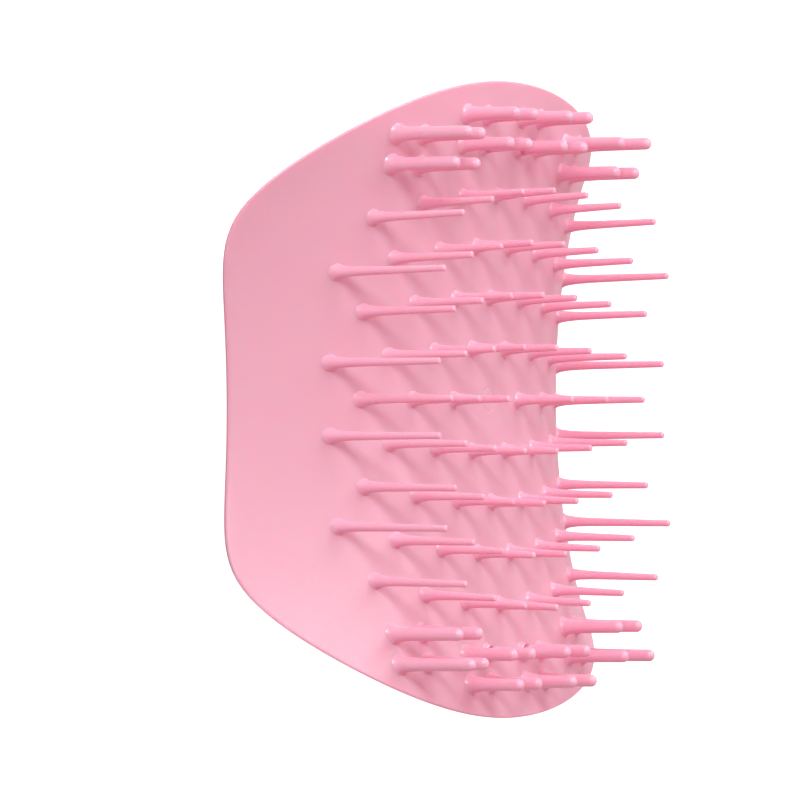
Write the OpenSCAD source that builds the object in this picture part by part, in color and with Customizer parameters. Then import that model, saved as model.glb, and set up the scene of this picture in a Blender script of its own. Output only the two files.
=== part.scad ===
// Palm-held scalp massager brush: a saddle-shaped front shell that carries rows of thin
// exfoliating teeth with a patch of thick massage teeth at each end, closed by a domed
// palm cover. It lies on its back: X runs across the wings, Y along the brush, and the
// teeth point up +Z. The origin is on the resting flat, under the middle of the face.

/* [Front shell] */
// Length of the brush along Y
brush_length = 90; // [84:1:98]
// Width across the waist between the two finger wings
waist_width = 88.5; // [84:0.5:94]
// Height of the middle of the toothed face above the resting flat
face_height = 27; // [26:1:32]
// Wall of the front shell, measured along Z
shell_wall = 2.4; // [2.2:0.1:3]
// Height of the thin band that shows round the edge of the front shell
rim_band = 0.5; // [0.4:0.1:1]

/* [Back cover] */
// Wall of the palm cover, measured along Z
cover_wall = 2.2; // [2:0.1:2.6]
// Share of the half size that the resting flat takes
flat_share = 0.18; // [0.14:0.02:0.2]
// Radius of the locating pins inside the cover
pin_radius = 1.5; // [1.2:0.1:1.8]

/* [Exfoliating teeth] */
// Distance between neighbouring columns in one row
column_pitch = 9.29; // [9:0.01:9.6]
// Distance between neighbouring rows on the middle line
row_pitch = 7.23; // [7:0.01:7.5]
// Radius of a thin tooth just above its flare
thin_root_radius = 0.66; // [0.6:0.02:0.72]
// Radius of a thin tooth at its tip
thin_tip_radius = 0.46; // [0.4:0.02:0.5]
// Rounding of the corner of a thin tip
thin_tip_round = 0.24; // [0.12:0.02:0.38]
// Radius of the flare a thin tooth grows from
thin_flare_radius = 1.15; // [1:0.05:1.2]

/* [Massage teeth] */
// Radius of a thick tooth just above its flare
thick_root_radius = 0.94; // [0.88:0.02:1]
// Radius of a thick tooth at its tip
thick_tip_radius = 0.86; // [0.8:0.02:0.88]
// Rounding of a thick tip, nearly a full dome
thick_tip_round = 0.78; // [0.5:0.04:0.78]
// Radius of the flare a thick tooth grows from
thick_flare_radius = 1.45; // [1.3:0.05:1.5]
// How far the thick tips stay below the sheet the thin tips lie on
thick_drop = 2.2; // [1.8:0.1:2.6]

/* [Hidden] */

pink = [0.95, 0.68, 0.76];
pale_pink = [0.96, 0.75, 0.82];
tooth_pink = [0.93, 0.55, 0.66];

// Plan outline: a squarish superellipse with crowned ends and a waist.
corner_power = 5.9;                     // squareness of the corners
end_crown = 0.34;                       // how strongly the ends curve back
waist_share = 0.132;                    // part of the half width that the waist takes away
half_length = brush_length / 2;
full_half_width = waist_width / 2 / (1 - waist_share);

// Face surface: falls away to the wings, rises to the two ends.
crown_square = 0.00217;                 // parabolic part of the fall across X
crown_cube = 0.000135;                  // steeper part of the fall, towards the wings
end_rise = 0.00192;                     // rise along Y
wing_fade = 55.5;                       // length over which the fall fades along Y

// Tip sheet: the smooth sheet the thin tips lie on, hollow both ways to suit a head.
tip_height = 8.5;                       // above the middle of the face
tip_rise_x = 0.00208;
tip_rise_y = 0.003;

plug = 1.3;                             // depth a tooth root reaches into the shell
play = 0.02;                            // gap round each root in its seat, and round each pin
collar_lift = 0.15;                     // how far a flare starts above the face
flare_rise = 2.6;                       // height of a flare for each mm that it widens
splay = 0.016;                          // share of its Y that a thin tip leans outwards
arc_start = 1.03;                       // bend of the rows towards the middle, at Y = 0
arc_growth = 0.113;                     // and how it grows with Y
arc_reach = 30;                         // X at which the bend is stated

cover_power = 1.9;                      // roundness of the palm dome
cover_edge = 0.99;                      // the cover stands in by this share at the joint line
land_inner = 0.955;                     // inner edge of the joint between the shells
land_fall = 1;                          // how much deeper the joint is there than at the rim
boss_share = 0.52;                      // place of each boss: share of the outline
boss_turn = 48;                         // and its angle on the outline
boss_wall = 1.5;
pin_shoulder = 1;                       // width of the step on a pin that meets its boss
boss_foot = 14;                         // height of the lower end of each boss
pin_reach = 8;                          // how far a pin goes up its boss
pin_end_gap = 0.5;                      // free depth left beyond its end
boss_x = boss_share * outline_x(boss_turn);
boss_y = boss_share * outline_y(boss_turn);
mark_radius = 1.85;                     // ring mark in the middle of the face
mark_line = 0.35;
mark_depth = 0.15;
rim_round = 0.2;                        // drop of the rim where its side begins

ring_points = 120;
outer_shares = [0.12, 0.24, 0.36, 0.48, 0.6, 0.7, 0.79, 0.87, 0.93, 0.97, 0.99];
inner_shares = [0.9, 0.82, 0.72, 0.6, 0.45, 0.3, 0.15];
cover_shares = [0.96, 0.92, 0.86, 0.79, 0.7, 0.6, 0.5, 0.4, 0.3];

// Massage teeth of one end: [x, y, extra height], one list for each row.
massage_rows = [
    [[5.1, 40, 0], [10.6, 40, 0]],
    [[5.1, 35.8, 0], [10.6, 35.8, 0], [20.4, 36.8, 0], [26.1, 36.8, 0.6]],
    [[20.4, 32.6, 0], [26.1, 32.6, -0.5]]
];

// ---- surfaces ----

function outline_x(t) =
    let (r = pow(pow(abs(cos(t)), corner_power) + pow(abs(sin(t)), corner_power), 1 / corner_power))
    full_half_width * cos(t) / r * (1 - waist_share * (1 - pow(sin(t) / r, 2)));

function outline_y(t) =
    let (r = pow(pow(abs(cos(t)), corner_power) + pow(abs(sin(t)), corner_power), 1 / corner_power))
    half_length * sin(t) / r * (1 - end_crown * pow(outline_x(t) / full_half_width, 2));

function face_z(x, y) =
    face_height + end_rise * y * y
    - (crown_square * x * x + crown_cube * pow(abs(x), 3)) * (1 - pow(y / wing_fade, 2));

function face_slope(x, y) =
    let (h = 0.05)
    norm([face_z(x + h, y) - face_z(x - h, y), face_z(x, y + h) - face_z(x, y - h)]) / (2 * h);

function rim_z(t) = face_z(outline_x(t), outline_y(t));

function land_z(t) = rim_z(t) - rim_band;

function cover_z(s, t) =
    land_z(t) * pow(max(0, s - flat_share) / (1 - flat_share), cover_power);

function tip_z(x, y) = face_height + tip_height + tip_rise_x * x * x + tip_rise_y * y * y;

function row_y(n, x) =
    n * row_pitch - sign(n) * (arc_start + arc_growth * abs(n) * row_pitch) * pow(x / arc_reach, 2);

function row_columns(n) =
    abs(n) % 2 == 1 ? [-3.5:1:3.5] : n == 0 ? [-3, -2, -1, 1, 2, 3] : [-3:1:3];

// One closed ring of points at share s of the outline, with the heights from h.
function ring(s, h) =
    [for (i = [0:ring_points - 1]) let (t = 360 * i / ring_points)
        [s * outline_x(t), s * outline_y(t), h[i]]];

function ring_angles() = [for (i = [0:ring_points - 1]) 360 * i / ring_points];

function face_ring(s, drop) =
    ring(s, [for (t = ring_angles()) face_z(s * outline_x(t), s * outline_y(t)) - drop]);

// The joint follows the face and gets deeper inwards, so that the shells centre themselves.
function joint_ring(s) = face_ring(s, rim_band + land_fall * (1 - s) / (1 - land_inner));

function cover_ring(s, lift) = ring(s, [for (t = ring_angles()) cover_z(s, t) + lift]);

// Closed skin over a stack of rings, from a first pole to a last pole.
module skin(first_pole, rings, last_pole) {
    count = len(rings);
    n = ring_points;
    points = concat([first_pole], [for (r = rings) each r], [last_pole]);
    first_fan = [for (i = [0:n - 1]) [0, 1 + (i + 1) % n, 1 + i]];
    bands = [for (k = [0:count - 2]) for (i = [0:n - 1])
        let (a = 1 + k * n + i, b = 1 + k * n + (i + 1) % n)
        each [[a, b, b + n], [a, b + n, a + n]]];
    last = 1 + (count - 1) * n;
    last_fan = [for (i = [0:n - 1]) [last + i, last + (i + 1) % n, last + n]];
    polyhedron(points, concat(first_fan, bands, last_fan));
}

// ---- teeth ----

// A tooth on its own axis: plug, short collar, flare, tapered shank and rounded tip.
module tooth(length, collar, flare_radius, root_radius, tip_radius, tip_round) {
    flare_height = flare_rise * (flare_radius - root_radius);
    tip = [for (a = [0:30:90])
        [tip_radius - tip_round * (1 - cos(a)), length - tip_round * (1 - sin(a))]];
    rotate_extrude($fn = 24)
        polygon(concat([[0, -plug], [flare_radius, -plug], [flare_radius, collar],
                        [(flare_radius + 2 * root_radius) / 3, collar + flare_height * 0.4],
                        [root_radius, collar + flare_height]], tip, [[0, length]]));
}

// Puts a child on the face at (x, y), leaning so that its axis passes through the tip.
module on_face(x, y, tip_y, tip) {
    root = face_z(x, y);
    translate([x, y, root])
        rotate([-atan2(tip_y - y, tip - root), 0, 0])
            children();
}

function tooth_length(x, y, tip_y, tip) = norm([tip_y - y, tip - face_z(x, y)]);

// On a sloping face the collar has to be taller, so that it clears the face all round.
function collar(x, y, flare_radius) = flare_radius * face_slope(x, y) + collar_lift;

module thin_tooth(n, column) {
    x = column * column_pitch;
    y = row_y(n, x);
    tip_y = y * (1 + splay);
    tip = tip_z(x, tip_y);
    on_face(x, y, tip_y, tip)
        tooth(tooth_length(x, y, tip_y, tip), collar(x, y, thin_flare_radius),
              thin_flare_radius, thin_root_radius, thin_tip_radius, thin_tip_round);
}

module thick_tooth(x, y, extra) {
    tip = tip_z(x, y) - thick_drop + extra;
    on_face(x, y, y, tip)
        tooth(tooth_length(x, y, y, tip), collar(x, y, thick_flare_radius),
              thick_flare_radius, thick_root_radius, thick_tip_radius, thick_tip_round);
}

// The seat a tooth root sits in, open at the face.
module seat(radius) {
    translate([0, 0, -plug - play])
        cylinder(h = plug + 3, r = radius + play, $fn = 24);
}

module thin_seats() {
    for (n = [-4:4], column = row_columns(n)) {
        x = column * column_pitch;
        y = row_y(n, x);
        on_face(x, y, y * (1 + splay), tip_z(x, y * (1 + splay)))
            seat(thin_flare_radius);
    }
}

module thick_seats() {
    for (row = massage_rows, p = row, sx = [-1, 1], sy = [-1, 1])
        on_face(sx * p[0], sy * p[1], sy * p[1], tip_z(p[0], p[1]))
            seat(thick_flare_radius);
}

// ---- sub-parts ----

module boss_places() {
    for (sx = [-1, 1], sy = [-1, 1])
        translate([sx * boss_x, sy * boss_y, 0])
            children();
}

module front_shell() {
    color(pale_pink)
        difference() {
            union() {
                skin([0, 0, face_height],
                     concat([for (s = outer_shares) face_ring(s, 0)],
                            [face_ring(1, rim_round), joint_ring(1), joint_ring(cover_edge),
                             joint_ring(land_inner)],
                            [for (s = inner_shares) face_ring(s, shell_wall)]),
                     [0, 0, face_height - shell_wall]);
                boss_places()
                    translate([0, 0, boss_foot])
                        cylinder(h = face_z(boss_x, boss_y) - shell_wall / 2 - boss_foot,
                                 r = pin_radius + boss_wall, $fn = 32);
            }
            boss_places()
                translate([0, 0, boss_foot - 1])
                    cylinder(h = 1 + pin_reach + pin_end_gap, r = pin_radius + play, $fn = 32);
            thin_seats();
            thick_seats();
            translate([0, 0, face_height - mark_depth])
                difference() {
                    cylinder(h = 1, r = mark_radius, $fn = 32);
                    cylinder(h = 3, r = mark_radius - mark_line, center = true, $fn = 32);
                }
        }
}

module back_cover() {
    pin_foot = cover_z(boss_share, boss_turn) + cover_wall * 0.6;
    color(pink)
        union() {
            skin([0, 0, cover_wall],
                 concat([for (i = [len(inner_shares) - 1:-1:0]) cover_ring(inner_shares[i], cover_wall)],
                        [joint_ring(land_inner), joint_ring(cover_edge)],
                        [for (s = cover_shares) cover_ring(s, 0)],
                        [cover_ring(flat_share, 0)]),
                 [0, 0, 0]);
            boss_places()
                translate([0, 0, pin_foot]) {
                    cylinder(h = boss_foot - pin_foot, r = pin_radius + pin_shoulder, $fn = 32);
                    cylinder(h = boss_foot + pin_reach - pin_foot, r = pin_radius, $fn = 32);
                }
        }
}

module exfoliating_row(i) {
    color(tooth_pink)
        for (column = row_columns(i - 5))
            thin_tooth(i - 5, column);
}

// Rows 1 to 3 stand at the -Y end, from the end inwards, and rows 4 to 6 at the +Y end.
module massage_row(i) {
    side = i <= 3 ? -1 : 1;
    row = massage_rows[i <= 3 ? i - 1 : 6 - i];
    color(tooth_pink)
        for (p = row, sx = [-1, 1])
            thick_tooth(sx * p[0], side * p[1], p[2]);
}

front_shell();
back_cover();
for (i = [1:9])
    exfoliating_row(i);
for (i = [1:6])
    massage_row(i);
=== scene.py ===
import math

import bpy
import numpy as np
from mathutils import Matrix, Vector


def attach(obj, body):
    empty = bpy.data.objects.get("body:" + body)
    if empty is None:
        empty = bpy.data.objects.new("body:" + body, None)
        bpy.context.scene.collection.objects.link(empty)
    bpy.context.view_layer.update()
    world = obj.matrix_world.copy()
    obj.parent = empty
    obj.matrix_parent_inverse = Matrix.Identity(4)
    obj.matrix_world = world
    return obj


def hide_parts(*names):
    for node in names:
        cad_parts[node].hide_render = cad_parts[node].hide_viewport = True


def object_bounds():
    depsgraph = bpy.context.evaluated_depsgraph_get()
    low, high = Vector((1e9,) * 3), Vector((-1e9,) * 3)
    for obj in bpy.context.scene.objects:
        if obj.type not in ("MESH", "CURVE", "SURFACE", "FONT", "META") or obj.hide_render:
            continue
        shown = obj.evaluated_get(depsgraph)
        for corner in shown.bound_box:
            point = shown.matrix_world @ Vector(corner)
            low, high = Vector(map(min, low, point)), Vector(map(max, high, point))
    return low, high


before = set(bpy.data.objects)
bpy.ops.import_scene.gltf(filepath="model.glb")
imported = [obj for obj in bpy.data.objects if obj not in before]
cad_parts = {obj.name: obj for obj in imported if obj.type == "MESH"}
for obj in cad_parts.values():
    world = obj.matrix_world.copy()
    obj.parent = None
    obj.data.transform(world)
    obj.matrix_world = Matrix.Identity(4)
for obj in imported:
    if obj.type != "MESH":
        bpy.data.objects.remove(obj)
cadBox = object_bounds()
mm = 0.001  # shapes are worked out in millimetres and stored in metres

# The outline and the face are shared by the shell, the cover and every tooth root.
brush = {
    "halfLength": (cadBox[1][1] - cadBox[0][1]) / 2 / mm,
    "halfWidth": 50.979,  # across the wings, before the waist is taken away
    "cornerPower": 5.9,  # squareness of the corners
    "waist": 0.132,  # share of the half width taken away at the waist
    "endCrown": 0.34,  # how far the ends curve back towards the wings
    "faceMiddle": 27.0,  # height of the middle of the face above the resting flat
    "fallSquare": 0.00217,  # how the face falls away to the wings
    "fallCube": 0.000135,
    "endRise": 0.00192,  # how the face climbs to the ends
    "wingFade": 55.5,  # length over which the fall dies out
    "rimBand": 0.5,  # height of the band of shell that shows round the edge
    "jointFall": 1.0,  # how much deeper the joint between the shells is at its inner edge
    "jointInner": 0.955,  # share of the outline at that edge
    "tipHeight": 8.5,  # the sheet the thin tips lie on
    "tipRiseX": 0.00208,
    "tipRiseY": 0.003,
}


def outline(turn):
    # superellipse in polar form, narrowed at the waist, then crowned at both ends
    c, s, p = np.cos(turn), np.sin(turn), brush["cornerPower"]
    reach = (np.abs(c) ** p + np.abs(s) ** p) ** (1 / p)
    x = brush["halfWidth"] * c / reach * (1 - brush["waist"] * (1 - (s / reach) ** 2))
    y = brush["halfLength"] * s / reach * (1 - brush["endCrown"] * (x / brush["halfWidth"]) ** 2)
    return x, y


def faceHeight(x, y):
    # middle height, plus a parabola along y, less a square and cube fall across x, fading along y
    fall = brush["fallSquare"] * x**2 + brush["fallCube"] * np.abs(x) ** 3
    return (brush["faceMiddle"] + brush["endRise"] * y**2
            - fall * (1 - (y / brush["wingFade"]) ** 2))


def tipSheet(x, y):
    # a bowl, hollow both ways, a set height above the middle of the face
    return (brush["faceMiddle"] + brush["tipHeight"]
            + brush["tipRiseX"] * x**2 + brush["tipRiseY"] * y**2)


def rimHeight(turn):
    return faceHeight(*outline(turn))


def jointHeight(share, x, y):
    # the joint follows the face and gets evenly deeper inwards
    return (faceHeight(x, y) - brush["rimBand"]
            - brush["jointFall"] * (1 - share) / (1 - brush["jointInner"]))


def smoothStep(v):
    v = np.clip(v, 0, 1)
    return v * v * (3 - 2 * v)


def tubes(name, rings, firstPole, lastPole, material):
    # rings: (tubes, rings, around, xyz) in mm, from the lowest pole round to the last one. Each
    # ring joins the next with quads, and each end closes in a fan on its pole.
    count, ringCount, around, _ = rings.shape
    size = ringCount * around + 2
    points = np.concatenate([firstPole[:, None], rings.reshape(count, ringCount * around, 3),
                             lastPole[:, None]], axis=1)
    here = np.arange(around)
    after = (here + 1) % around
    rows = 1 + np.arange(ringCount)[:, None] * around
    quads = np.stack([rows[:-1] + here, rows[:-1] + after, rows[1:] + after, rows[1:] + here], -1)
    firstFan = np.stack([0 * here, 1 + after, 1 + here], -1)
    top = 1 + (ringCount - 1) * around
    lastFan = np.stack([top + here, top + after, 0 * here + size - 1], -1)
    starts = (np.arange(count) * size)[:, None, None]
    faces = ((quads.reshape(1, -1, 4) + starts).reshape(-1, 4).tolist()
             + (firstFan[None] + starts).reshape(-1, 3).tolist()
             + (lastFan[None] + starts).reshape(-1, 3).tolist())
    mesh = bpy.data.meshes.new(name)
    mesh.from_pydata((points.reshape(-1, 3) * mm).tolist(), [], faces)
    mesh.shade_smooth()
    mesh.materials.append(material)
    piece = bpy.data.objects.new(name, mesh)
    bpy.context.scene.collection.objects.link(piece)
    return piece


def hexColour(code):
    # sRGB hex to linear RGBA
    parts = [int(code[i:i + 2], 16) / 255 for i in (1, 3, 5)]
    return [v / 12.92 if v <= 0.04045 else ((v + 0.055) / 1.055) ** 2.4 for v in parts] + [1.0]


def addNode(tree, kind, settings=None, links=None):
    # one node: settings go to a property or to an input's own value, links name the inputs
    node = tree.nodes.new(kind)
    for key, value in (settings or {}).items():
        if isinstance(key, str) and hasattr(node, key):
            setattr(node, key, value)
        else:
            node.inputs[key].default_value = value
    for key, socket in (links or {}).items():
        tree.links.new(socket, node.inputs[key])
    return node


def mouldedPlastic(name, look):
    # Injection-moulded satin plastic. The eye gets a soft broad sheen, slow clouding of the pigment
    # and the fine grain of the mould, which is drawn coarser than a real one so that it shows.
    # Light soaks in and comes out red, and a faint red glow is painted in: the plastic gives off
    # light of its own as a stand-in for light that travels the whole way through, which keeps the
    # shadows pink.
    material = bpy.data.materials.new(name)
    material.use_nodes = True
    tree = material.node_tree
    tree.nodes.clear()
    place = addNode(tree, "ShaderNodeTexCoord").outputs["Object"]
    cloud = addNode(tree, "ShaderNodeTexNoise",
                    {"Scale": 1 / (look["cloudSize"] * mm), "Detail": 2.0, "Roughness": 0.5},
                    {"Vector": place})
    colour = addNode(tree, "ShaderNodeMix",
                     {"data_type": "RGBA", 6: hexColour(look["deep"]), 7: hexColour(look["pale"])},
                     {0: cloud.outputs["Fac"]})
    grain = addNode(tree, "ShaderNodeTexNoise",
                    {"Scale": 1 / (look["grainSize"] * mm), "Detail": 3.0, "Roughness": 0.6},
                    {"Vector": place})
    rubbed = addNode(tree, "ShaderNodeTexNoise",
                     {"Scale": 1 / (look["rubSize"] * mm), "Detail": 4.0, "Roughness": 0.65},
                     {"Vector": place})
    finish = addNode(tree, "ShaderNodeMapRange",
                     {"From Min": 0.3, "From Max": 0.7,
                      "To Min": look["roughness"] - look["rubDepth"],
                      "To Max": look["roughness"] + look["rubDepth"]},
                     {"Value": rubbed.outputs["Fac"]})
    bump = addNode(tree, "ShaderNodeBump",
                   {"Strength": look["grainStrength"], "Distance": look["grainHeight"] * mm},
                   {"Height": grain.outputs["Fac"]})
    shader = addNode(tree, "ShaderNodeBsdfPrincipled",
                     {"IOR": look["ior"], "Subsurface Weight": look["soak"],
                      "Subsurface Radius": look["soakColour"],
                      "Subsurface Scale": look["soakDepth"] * mm,
                      "Specular IOR Level": look["gloss"],
                      "Emission Color": look["glowColour"], "Emission Strength": look["glow"]},
                     {"Base Color": colour.outputs[2], "Roughness": finish.outputs["Result"],
                      "Normal": bump.outputs["Normal"]})
    addNode(tree, "ShaderNodeOutputMaterial", links={"Surface": shader.outputs["BSDF"]})
    return material


def seat(piece, slot, *nodes):
    # the piece stands for its CAD nodes, on the only body
    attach(piece, "root")
    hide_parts(*nodes)


# Camera: low and level with one wing, lying on its side so that the brush stands upright.
camera = {
    "swing": 60.0,  # degrees from looking straight down on the face, towards the -x wing;
                    # an assumed angle, as anything from 50 to 64 fits the teeth about as well
    "tilt": -0.4,  # small turn towards an end
    "roll": -0.344,
    "distance": 1090.0,
    "offset": (12.49, 0.05),  # how far the middle of the face is off the middle of the view
    "lens": 346.3,
    "sensor": 36.0,
    "farthest": 20.0,  # metres
}
swing, tilt, roll = (math.radians(camera[k]) for k in ("swing", "tilt", "roll"))
away = Vector((-math.sin(swing), 0, math.cos(swing)))
right = Vector((math.cos(swing), 0, math.sin(swing)))
up = Vector((0, 1, 0))
away, up = away * math.cos(tilt) + up * math.sin(tilt), up * math.cos(tilt) - away * math.sin(tilt)
right, up = (right * math.cos(roll) + up * math.sin(roll),
             up * math.cos(roll) - right * math.sin(roll))
target = Vector((0, 0, brush["faceMiddle"]))
eye = target + away * camera["distance"] - right * camera["offset"][0] - up * camera["offset"][1]
cameraData = bpy.data.cameras.new("camera")
cameraData.lens = camera["lens"]
cameraData.sensor_width = camera["sensor"]
cameraData.clip_end = camera["farthest"]
cameraObject = bpy.data.objects.new("camera", cameraData)
cameraObject.matrix_world = (Matrix.Translation(eye * mm)
                             @ Matrix((right, up, away)).transposed().to_4x4())
bpy.context.scene.collection.objects.link(cameraObject)
bpy.context.scene.camera = cameraObject
print("camera placed")


# Front shell: a thin saddle with a rounded rim and a faint ring mark in the middle of its face.
shell = {
    "around": 320,
    "wall": 2.4,
    "rimRadius": 0.3,
    "rimReach": 47.0,  # about how far the rim is from the middle
    "innerShares": [0.1, 0.25, 0.4, 0.55, 0.7, 0.8, 0.88, 0.925, 0.94],
    "jointShares": [0.956, 0.965, 0.975, 0.985, 0.992, 0.9965],
    "markRadius": 1.68,
    "markWidth": 0.13,
    "markDepth": 0.045,
    "roundInside": 0.3,  # share of the outline inside which rings turn into circles
    "look": {"deep": "#C69DAD", "pale": "#CBA5B5", "cloudSize": 45, "roughness": 0.38,
             "rubSize": 9, "rubDepth": 0.035, "ior": 1.5, "grainSize": 0.35,
             "grainHeight": 0.02, "grainStrength": 0.1, "soak": 0.7,
             "soakColour": (1.0, 0.2, 0.26), "soakDepth": 3.0,
             "gloss": 0.5, "glow": 0.22, "glowColour": (1.0, 0.06, 0.14, 1.0)},
}
# an even satin with a broad soft sheen, paler than the teeth, and a faint painted red glow that
# keeps its shadows pink
shellPlastic = mouldedPlastic("satin moulded polyester elastomer", shell["look"])


def shellRings(share, turn, drop=0.0, joint=False):
    # a share of the outline, lowered by drop from the face, or laid on the joint. Near the middle
    # it turns into a circle, and the ring mark is a bell-shaped dip at a set radius.
    x, y = outline(turn)
    circle = brush["halfLength"] * share
    blend = smoothStep(share / shell["roundInside"])
    x, y = (blend * share * x + (1 - blend) * circle * np.cos(turn),
            blend * share * y + (1 - blend) * circle * np.sin(turn))
    if joint:
        return np.stack([x, y, jointHeight(share, x, y)], -1)
    offMark = (np.hypot(x, y) - shell["markRadius"]) / shell["markWidth"]
    mark = shell["markDepth"] * np.exp(-offMark ** 2)
    return np.stack([x, y, faceHeight(x, y) - drop - mark], -1)


turn = np.linspace(0, 2 * np.pi, shell["around"], endpoint=False)[None]
inner = np.array(shell["innerShares"])[:, None]
land = np.array(shell["jointShares"])[:, None]
bend = np.radians([0, 15, 30, 45, 60, 75, 90])[:, None]
edgeShare = 1 - shell["rimRadius"] * (1 - np.cos(bend)) / shell["rimReach"]
markRings = np.array([0.5, 1.0, 1.3, 1.42, 1.5, 1.56, 1.62, 1.68, 1.74, 1.8, 1.86, 1.94, 2.1,
                      2.5, 3.1, 3.9, 4.9, 6.1, 7.5]) / brush["halfLength"]
faceShares = np.concatenate([np.linspace(0.985, 0.9, 7), np.linspace(0.88, 0.2, 36),
                             markRings[::-1]])
rings = np.concatenate([
    shellRings(inner, turn, drop=shell["wall"]),
    shellRings(land, turn, joint=True),
    shellRings(edgeShare, turn, drop=shell["rimRadius"] * (1 - np.sin(bend))),
    shellRings(faceShares[:, None], turn),
])
middle = brush["faceMiddle"]
frontShell = tubes("frontShell", rings[None], np.array([[0, 0, middle - shell["wall"]]]),
                   np.array([[0, 0, middle]]), shellPlastic)
seat(frontShell, "front_shell", "front_shell")
print("front shell made:", len(frontShell.data.polygons), "faces")


# Back cover: a palm dome on a small resting flat, standing in a little at the joint line.
cover = {
    "around": 240,
    "wall": 2.2,
    "flatShare": 0.18,
    "power": 1.9,  # roundness of the dome
    "innerShares": [0.9, 0.8, 0.65, 0.5, 0.35, 0.2, 0.1],
    "look": {"deep": "#E293AB", "pale": "#E69CB2", "cloudSize": 50, "roughness": 0.34,
             "rubSize": 7, "rubDepth": 0.05, "ior": 1.53, "grainSize": 0.5,
             "grainHeight": 0.015, "grainStrength": 0.1, "soak": 0.15,
             "soakColour": (1.0, 0.3, 0.35), "soakDepth": 1.5,
             "gloss": 0.5, "glow": 0.0, "glowColour": (1.0, 0.1, 0.2, 1.0)},
}
# harder and a little glossier than the shell, with the uneven rub of a palm on it
coverPlastic = mouldedPlastic("satin moulded ABS", cover["look"])


def coverRings(share, turn, lift=0.0, drop=None):
    # dome: rim height times a power of the share beyond the flat; with drop, below the joint
    x, y = outline(turn)
    rim = rimHeight(turn) - brush["rimBand"]
    beyondFlat = np.clip(share - cover["flatShare"], 0, None) / (1 - cover["flatShare"])
    if drop is None:
        height = rim * beyondFlat ** cover["power"] + lift
    else:
        height = jointHeight(share, share * x, share * y) - drop
    return np.stack([share * x, share * y, height + 0 * share], -1)


turn = np.linspace(0, 2 * np.pi, cover["around"], endpoint=False)[None]
domeShares = np.concatenate([np.linspace(0.04, 0.16, 4), np.linspace(0.18, 0.975, 48)])[:, None]
edgeShares = np.array([0.9885, 0.99, 0.9895, 0.988, 0.985, 0.98])[:, None]
edgeDrops = np.array([0.55, 0.35, 0.18, 0.08, 0.02, 0.0])[:, None]
rings = np.concatenate([
    coverRings(domeShares, turn),
    coverRings(edgeShares, turn, drop=edgeDrops),
    coverRings(np.array([0.97, 0.956])[:, None], turn, drop=0.0),
    coverRings(np.array(cover["innerShares"])[:, None], turn, lift=cover["wall"]),
])
backCover = tubes("backCover", rings[None], np.array([[0.0, 0, 0]]),
                  np.array([[0, 0, cover["wall"]]]), coverPlastic)
seat(backCover, "back_cover", "back_cover")
print("back cover made:", len(backCover.data.polygons), "faces")


def toothRings(root, tip, shape):
    # Round teeth on straight axes from the face to their tips. The radius runs evenly from root to
    # tip, plus two flares that die away with height, and the tip has a quarter-round corner. Near
    # the shell each ring follows the face, and below it a hidden flange carries the fillet under.
    turn = np.linspace(0, 2 * np.pi, shape["around"], endpoint=False)
    axis = tip - root
    length = np.linalg.norm(axis, axis=1)
    axis = axis / length[:, None]
    shank = np.concatenate([shape["lowHeights"],
                            np.linspace(shape["shankStart"], 1, shape["shankRings"])])
    low = len(shape["lowHeights"])
    height = np.where(np.arange(len(shank)) < low, shank[None],
                      shank[None] * (length[:, None] - shape["tipRound"]))
    taper = shape["tipRadius"] - shape["rootRadius"]
    radius = (shape["rootRadius"] + taper * height / length[:, None]
              + shape["flare"] * np.exp(-np.maximum(height, 0) / shape["flareHeight"])
              + shape["fillet"] * np.exp(-np.maximum(height, 0) / shape["filletHeight"]))
    radius[:, :2] = radius[:, 2:3] + shape["flange"]
    corner = np.radians(shape["cornerSteps"])
    flat = shape["tipRadius"] - shape["tipRound"]
    height = np.concatenate([height, length[:, None] - shape["tipRound"] * (1 - np.sin(corner))], 1)
    tipRadii = flat + shape["tipRound"] * np.cos(corner) + 0 * length[:, None]
    radius = np.concatenate([radius, tipRadii], 1)
    side = np.cross(np.cross(axis, [1.0, 0, 0]), axis)
    side /= np.linalg.norm(side, axis=1)[:, None]
    across = np.cross(axis, side)
    spoke = (np.cos(turn)[None, :, None] * side[:, None]
             + np.sin(turn)[None, :, None] * across[:, None])
    points = (root[:, None, None] + axis[:, None, None] * height[..., None, None]
              + spoke[:, None] * radius[..., None, None])
    follow = np.clip(1 - height / shape["followHeight"], 0, 1)[..., None] ** 2
    drop = faceHeight(points[..., 0], points[..., 1]) - root[:, None, None, 2]
    points[..., 2] += follow * drop
    firstPole = root + axis * height[:, :1]
    return points, firstPole, tip


# Exfoliating teeth: nine rows of thin tapered teeth, the odd ones half a column over.
thinTeeth = {
    "columnPitch": 9.29,
    "rowPitch": 7.23,
    "splay": 1.016,  # tips lean out from the middle by this ratio
    "arcStart": 1.03,  # rows bend towards the middle, more so further out
    "arcGrowth": 0.113,
    "arcReach": 30.0,
    "shape": {"around": 22, "rootRadius": 0.66, "tipRadius": 0.46, "tipRound": 0.24, "flare": 0.42,
              "flareHeight": 1.25, "fillet": 0.16, "filletHeight": 0.3, "followHeight": 2.4,
              "lowHeights": np.array([-0.8, -0.14, -0.02, 0.06, 0.15, 0.28, 0.48, 0.75]),
              "flange": np.array([0.3, 0.22]), "shankStart": 0.12, "shankRings": 9,
              "cornerSteps": [15, 35, 55, 75, 90]},
    "look": {"deep": "#D0A3B8", "pale": "#D6AEC1", "cloudSize": 12, "roughness": 0.29,
             "rubSize": 3, "rubDepth": 0.02, "ior": 1.5, "grainSize": 0.3,
             "grainHeight": 0.01, "grainStrength": 0.04, "soak": 0.7,
             "soakColour": (1.0, 0.2, 0.28), "soakDepth": 1.2,
             "gloss": 0.6, "glow": 0.22, "glowColour": (1.0, 0.04, 0.12, 1.0)},
}
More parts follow.
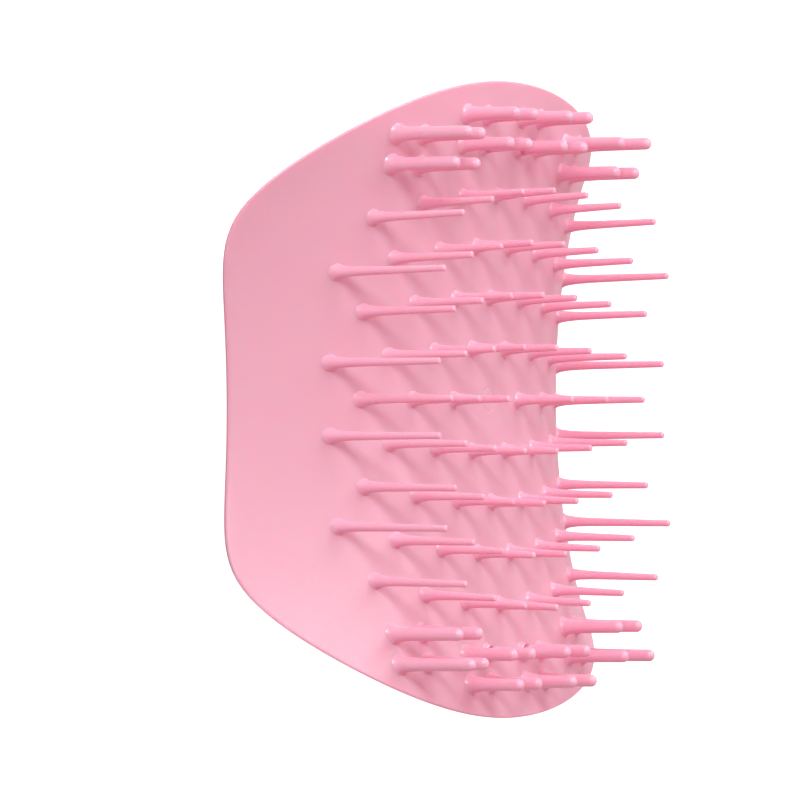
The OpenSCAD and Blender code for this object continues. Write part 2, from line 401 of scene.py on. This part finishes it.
# the shell's plastic again, smoother and glossier, and deeper in colour where it is thin, with the
# same painted red glow
toothPlastic = mouldedPlastic("flexible moulded polyester elastomer", thinTeeth["look"])


def rowColumns(n):
    if n % 2:
        return np.arange(-3.5, 4)
    return np.array([-3, -2, -1, 1, 2, 3.0]) if n == 0 else np.arange(-3.0, 4)


for row in range(1, 10):
    n = row - 5
    x = rowColumns(n) * thinTeeth["columnPitch"]
    bow = thinTeeth["arcStart"] + thinTeeth["arcGrowth"] * abs(n) * thinTeeth["rowPitch"]
    y = n * thinTeeth["rowPitch"] - np.sign(n) * bow * (x / thinTeeth["arcReach"]) ** 2
    root = np.stack([x, y, faceHeight(x, y)], -1)
    tip = np.stack([x, y * thinTeeth["splay"], tipSheet(x, y * thinTeeth["splay"])], -1)
    name = f"exfoliating_teeth_row_{row}"
    piece = tubes(f"exfoliatingRow{row}", *toothRings(root, tip, thinTeeth["shape"]), toothPlastic)
    seat(piece, "exfoliating_teeth", name)
print("exfoliating teeth made")


# Massage teeth: thick round-ended teeth of the same plastic, sixteen at each end of the face.
thickTeeth = {
    "drop": 2.2,  # how far the tips stay below the sheet of thin tips
    # x, y and extra height of each tooth on the +x side, from the end inwards
    "rows": [[(5.1, 40, 0), (10.6, 40, 0)],
             [(5.1, 35.8, 0), (10.6, 35.8, 0), (20.4, 36.8, 0), (26.1, 36.8, 0.6)],
             [(20.4, 32.6, 0), (26.1, 32.6, -0.5)]],
    "shape": {"around": 26, "rootRadius": 0.94, "tipRadius": 0.86, "tipRound": 0.78, "flare": 0.42,
              "flareHeight": 1.1, "fillet": 0.2, "filletHeight": 0.3, "followHeight": 2.8,
              "lowHeights": np.array([-0.8, -0.16, -0.02, 0.07, 0.17, 0.32, 0.55, 0.85]),
              "flange": np.array([0.3, 0.22]), "shankStart": 0.12, "shankRings": 8,
              "cornerSteps": [12, 26, 40, 54, 68, 80, 90]},
}
for row in range(1, 7):
    side = -1 if row <= 3 else 1
    places = np.array(thickTeeth["rows"][row - 1 if row <= 3 else 6 - row], float)
    places = np.concatenate([places * [-1, side, 1], places * [1, side, 1]])
    x, y = places[:, 0], places[:, 1]
    root = np.stack([x, y, faceHeight(x, y)], -1)
    tip = np.stack([x, y, tipSheet(x, y) - thickTeeth["drop"] + places[:, 2]], -1)
    name = f"massage_teeth_row_{row}"
    piece = tubes(f"massageRow{row}", *toothRings(root, tip, thickTeeth["shape"]), toothPlastic)
    seat(piece, "massage_teeth", name)
print("massage teeth made")


# Floor and lights: a glowing white sweep, a key over the -x wing that draws the shadows, a broad
# softbox high at the +y end that shades the wing from end to end, and an even room.
studio = {
    "floorSize": 6.0,
    "floorColour": "#A0A0A0",
    "floorGlow": 1.0,  # looks pure white, but
    "floorFill": 0.2,  # throws only this much light back on the brush
    "distance": 1.3,
    "keyFrom": (-0.68, 0.54, 0.5),
    "keySize": 0.4,
    "keyPower": 11.5,
    "softFrom": (0.25, 0.6, 0.76),
    "softSize": 1.2,
    "softPower": 14.0,
    "roomLight": 0.38,
}
floorMesh = bpy.data.meshes.new("floor")
half = studio["floorSize"] / 2
floorMesh.from_pydata([(-half, -half, 0), (half, -half, 0), (half, half, 0), (-half, half, 0)], [],
                      [(0, 1, 2, 3)])
# plain paper without a sheen, lit from within so that it stays free of shadows
floorPaper = bpy.data.materials.new("matt white paper")
floorPaper.use_nodes = True
floorTree = floorPaper.node_tree
floorTree.nodes.clear()
seen = addNode(floorTree, "ShaderNodeLightPath").outputs["Is Camera Ray"]
floorGlow = addNode(floorTree, "ShaderNodeMapRange",
                    {"To Min": studio["floorFill"], "To Max": studio["floorGlow"]}, {"Value": seen})
floorShader = addNode(floorTree, "ShaderNodeBsdfPrincipled",
                      {"Base Color": hexColour(studio["floorColour"]), "Roughness": 0.9,
                       "Specular IOR Level": 0.2, "Emission Color": hexColour("#FFFFFF")},
                      {"Emission Strength": floorGlow.outputs["Result"]})
addNode(floorTree, "ShaderNodeOutputMaterial", links={"Surface": floorShader.outputs["BSDF"]})
floorMesh.materials.append(floorPaper)
floor = bpy.data.objects.new("floor", floorMesh)
bpy.context.scene.collection.objects.link(floor)

for name in ("key", "soft"):
    lightData = bpy.data.lights.new(name, "AREA")
    lightData.shape = "SQUARE"
    lightData.size = studio[name + "Size"]
    lightData.energy = studio[name + "Power"]
    direction = Vector(studio[name + "From"]).normalized()
    light = bpy.data.objects.new(name, lightData)
    light.location = target * mm + direction * studio["distance"]
    light.rotation_euler = direction.to_track_quat("Z", "Y").to_euler()
    bpy.context.scene.collection.objects.link(light)

room = bpy.data.worlds.new("room")
room.use_nodes = True
room.node_tree.nodes.clear()
glow = addNode(room.node_tree, "ShaderNodeBackground",
               {"Color": hexColour("#FFFFFF"), "Strength": studio["roomLight"]})
addNode(room.node_tree, "ShaderNodeOutputWorld", links={"Surface": glow.outputs["Background"]})
bpy.context.scene.world = room
bpy.context.scene.view_settings.view_transform = "Standard"
print("studio lit")
